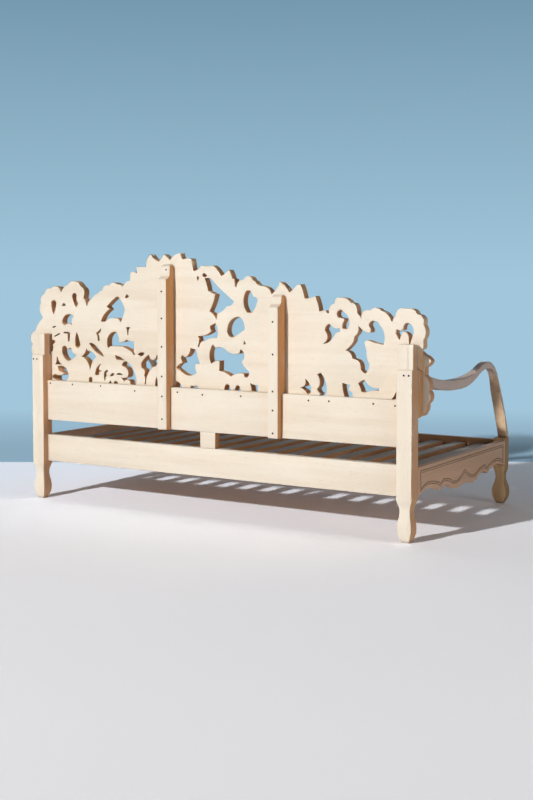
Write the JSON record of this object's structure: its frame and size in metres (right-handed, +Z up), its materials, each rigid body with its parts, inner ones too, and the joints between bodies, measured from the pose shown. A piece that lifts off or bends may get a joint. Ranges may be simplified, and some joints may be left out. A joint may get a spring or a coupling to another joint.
{
  "type": "persian takht daybed",
  "caption": "Carved wooden daybed with a pierced fret back, S-curved arms, scalloped aprons, club feet and a slatted seat; shown as a bare wooden frame.",
  "frame": {"origin": "on the floor, below the middle of the box around the whole daybed", "axes": "+Z up; the sitter faces -Y, so the fret back stands on the +Y side; X runs along the length of the seat"},
  "size_m": [2.1363, 1.1024, 1.189],
  "materials": {
    "back_wood": "bare pale hardwood, lightly waxed, fine grain, worn edges",
    "show_wood": "the same hardwood, oiled to a warm brown on the carved show faces",
    "seat_wood": "rough sawn softwood of the slats and hidden seat frame"
  },
  "bodies": {
    "root": {"arm_block_left": "back_wood", "arm_block_right": "back_wood", "arm_left": "show_wood", "arm_right": "show_wood", "back_board_left": "back_wood", "back_board_middle": "back_wood", "back_board_right": "back_wood", "back_stile_short": "back_wood", "back_stile_tall": "back_wood", "centre_block": "back_wood", "corner_brace_front_left": "seat_wood", "corner_brace_front_right": "seat_wood", "corner_brace_rear_left": "seat_wood", "corner_brace_rear_right": "seat_wood", "end_wing_left": "show_wood", "end_wing_right": "show_wood", "fret_back": "back_wood", "front_apron": "show_wood", "front_leg_left": "show_wood", "front_leg_right": "show_wood", "rear_post_left": "back_wood", "rear_post_right": "back_wood", "seat_back_rail": "back_wood", "seat_bearer": "seat_wood", "seat_slat_01": "seat_wood", "seat_slat_02": "seat_wood", "seat_slat_03": "seat_wood", "seat_slat_04": "seat_wood", "seat_slat_05": "seat_wood", "seat_slat_06": "seat_wood", "seat_slat_07": "seat_wood", "seat_slat_08": "seat_wood", "seat_slat_09": "seat_wood", "seat_slat_10": "seat_wood", "seat_slat_11": "seat_wood", "seat_slat_12": "seat_wood", "seat_slat_13": "seat_wood", "seat_slat_14": "seat_wood", "seat_slat_15": "seat_wood", "seat_slat_16": "seat_wood", "side_apron_left": "show_wood", "side_apron_right": "show_wood", "slat_cleat_front": "seat_wood", "slat_cleat_rear": "seat_wood"}
  },
  "joints": []
}
